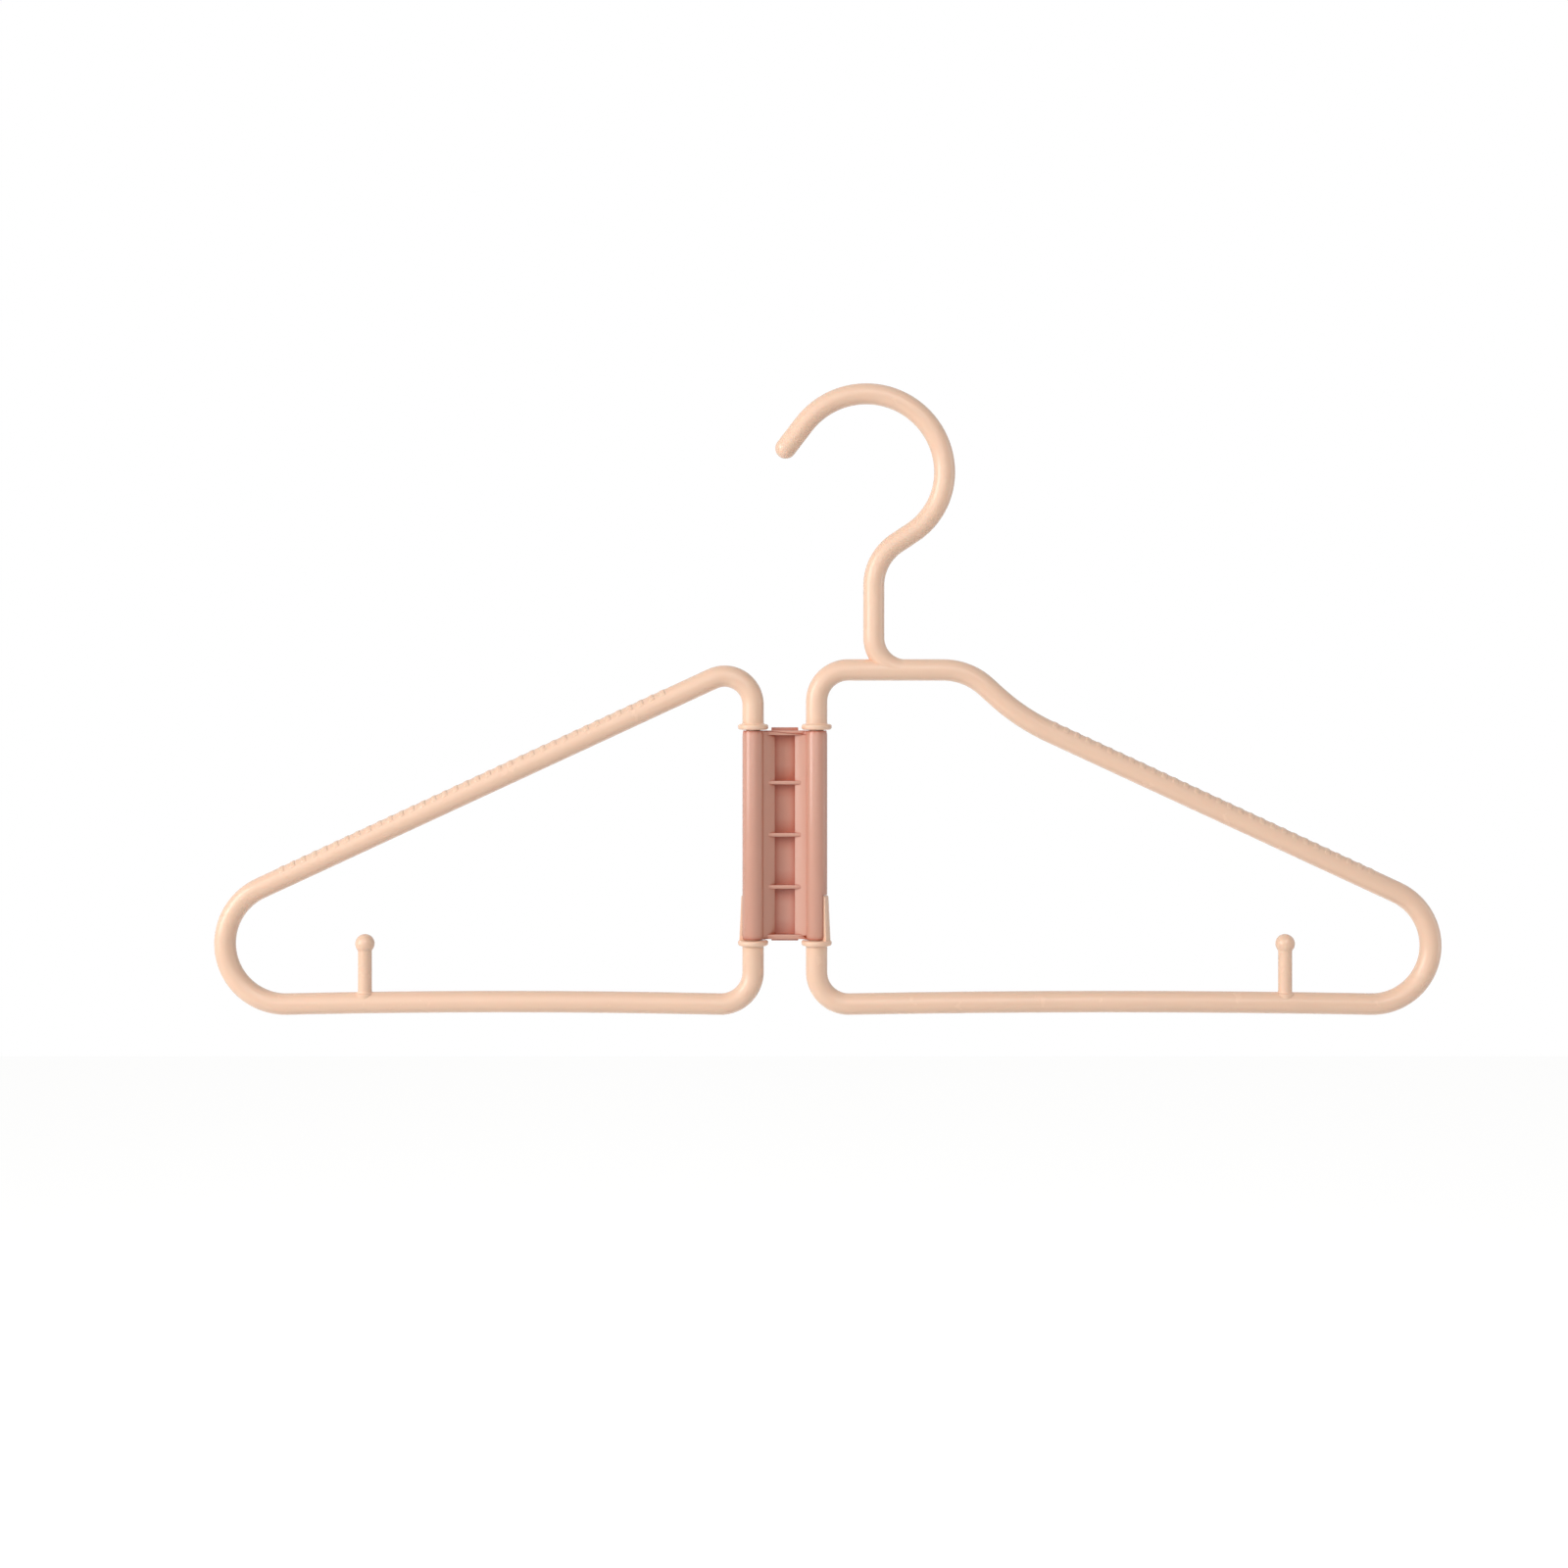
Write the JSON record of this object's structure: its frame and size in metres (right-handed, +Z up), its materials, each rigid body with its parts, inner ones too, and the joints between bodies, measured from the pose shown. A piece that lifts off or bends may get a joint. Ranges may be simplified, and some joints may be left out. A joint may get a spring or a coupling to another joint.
{
  "type": "folding travel hanger",
  "caption": "Folding clothes hanger: rod frames with ribbed shoulders and strap pegs turn in an open-sleeved hinge connector and fold flat behind each other; one frame carries the hook.",
  "frame": {"origin": "where the underside of the hook's crown rests on its rail, in the middle of the rod's thickness", "axes": "+Z up, +X along the open hanger towards the hook frame's shoulder tip, +Y to the back, the way the connector and the wing frame fold"},
  "size_m": [0.4, 0.0098, 0.2059],
  "materials": {
    "cream_plastic": "soft gloss injection-moulded polypropylene, cream peach",
    "pink_plastic": "soft gloss injection-moulded polypropylene, dusty pink"
  },
  "bodies": {
    "hook_side": {"hook_frame": "cream_plastic"},
    "connector": {"hinge_connector": "pink_plastic"},
    "wing_side": {"wing_frame": "cream_plastic"}
  },
  "joints": [
    {"name": "connector_hinge", "type": "hinge", "parent": "hook_side", "child": "connector", "pos_m": [-0.01615, 0, -0.1403], "axis": [0, 0, -1], "range_deg": [0, 90]},
    {"name": "wing_hinge", "type": "hinge", "parent": "connector", "child": "wing_side", "pos_m": [-0.03685, 0, -0.1403], "axis": [0, 0, -1], "range_deg": [0, 90]}
  ]
}
